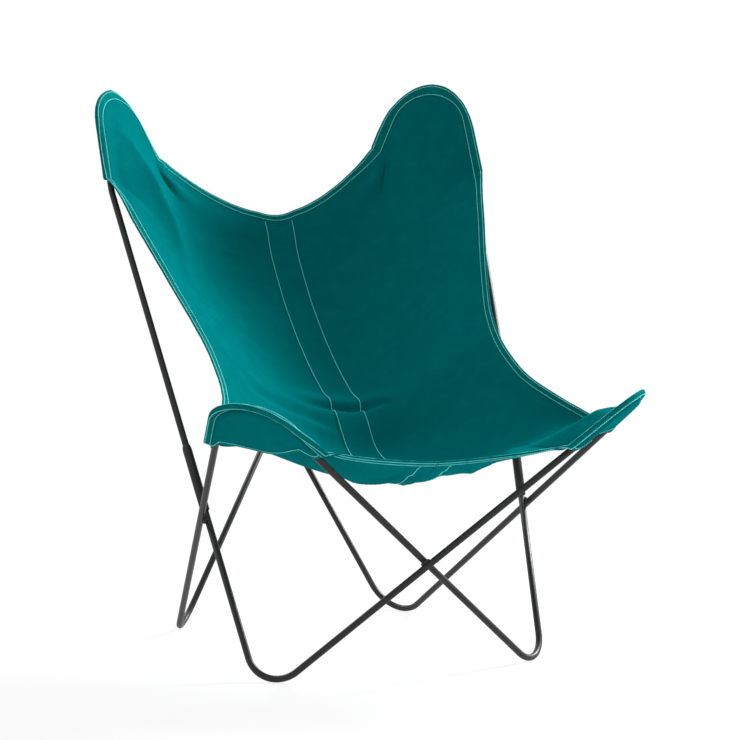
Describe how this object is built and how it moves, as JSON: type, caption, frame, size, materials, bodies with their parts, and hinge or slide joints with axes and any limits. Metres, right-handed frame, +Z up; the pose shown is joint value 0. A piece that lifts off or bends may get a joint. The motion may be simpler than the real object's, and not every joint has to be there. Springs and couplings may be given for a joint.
{
  "type": "butterfly sling chair",
  "caption": "Low lounge chair: a canvas sling hung by corner pockets on crossing bent steel rods, with back hoops held in sleeves.",
  "frame": {"origin": "on the floor, below the middle of the whole chair", "axes": "+Z up, the sitter faces -Y, +X to the right seen from the front"},
  "size_m": [0.7298, 0.8452, 0.9781],
  "materials": {
    "steel": "semi-matt dark grey powder coat",
    "canvas": "teal cotton canvas, plain weave"
  },
  "bodies": {
    "root": {"base_rod_left_foot": "steel", "base_rod_right_foot": "steel", "back_hoop_left": "steel", "back_hoop_right": "steel", "sleeve_front_left": "steel", "sleeve_rear_left": "steel", "sleeve_front_right": "steel", "sleeve_rear_right": "steel", "weld_left": "steel", "weld_right": "steel", "weld_back": "steel", "weld_front": "steel", "sling_panel_left": "canvas", "pocket_back_left": "canvas", "pocket_front_left": "canvas", "sling_panel_right": "canvas", "pocket_back_right": "canvas", "pocket_front_right": "canvas", "centre_band": "canvas"}
  },
  "joints": []
}
